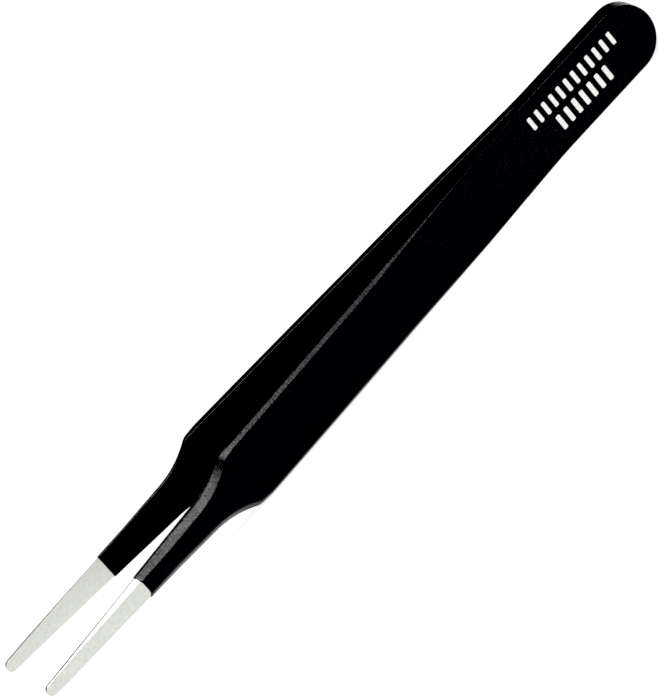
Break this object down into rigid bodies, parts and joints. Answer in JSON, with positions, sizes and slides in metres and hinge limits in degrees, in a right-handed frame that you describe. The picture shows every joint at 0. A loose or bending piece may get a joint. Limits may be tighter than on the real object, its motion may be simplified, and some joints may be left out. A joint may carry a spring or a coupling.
{
  "type": "precision tweezers",
  "caption": "Flat-tip precision tweezers: two sprung arms welded at the tail, black epoxy coating, bare steel tips with rounded ends.",
  "frame": {"origin": "centre of the underside of the bounding box, with the arms open; the tweezers stand on the lower edges of their arms", "axes": "+X from the tips to the tail; +Y from the printed front arm to the back arm, which is the way the arms open; +Z across the width of the blades"},
  "size_m": [0.12, 0.012, 0.0099],
  "materials": {
    "stainless_steel": "satin, fine ground",
    "black_epoxy": "semi-gloss black epoxy coating with a very fine grain",
    "white_ink": "screen-printed white ink"
  },
  "bodies": {
    "tail": {"front_blade_root": "stainless_steel", "back_blade_root": "stainless_steel", "inner_weld": "stainless_steel", "outer_weld": "stainless_steel", "tail_coating": "black_epoxy", "legend_long_line": "white_ink", "legend_short_line": "white_ink"},
    "front_arm": {"front_blade": "stainless_steel", "front_coating": "black_epoxy"},
    "back_arm": {"back_blade": "stainless_steel", "back_coating": "black_epoxy"}
  },
  "joints": [
    {"name": "front_arm_flex", "type": "hinge", "parent": "tail", "child": "front_arm", "pos_m": [0.0374, -0.00072, 0.00495], "axis": [0, 0, -1], "range_deg": [0, 3.19], "stiffness_Nm_per_rad": 1.6},
    {"name": "back_arm_flex", "type": "hinge", "parent": "tail", "child": "back_arm", "pos_m": [0.0374, 0.00072, 0.00495], "axis": [0, 0, 1], "range_deg": [0, 3.19], "stiffness_Nm_per_rad": 1.6}
  ]
}
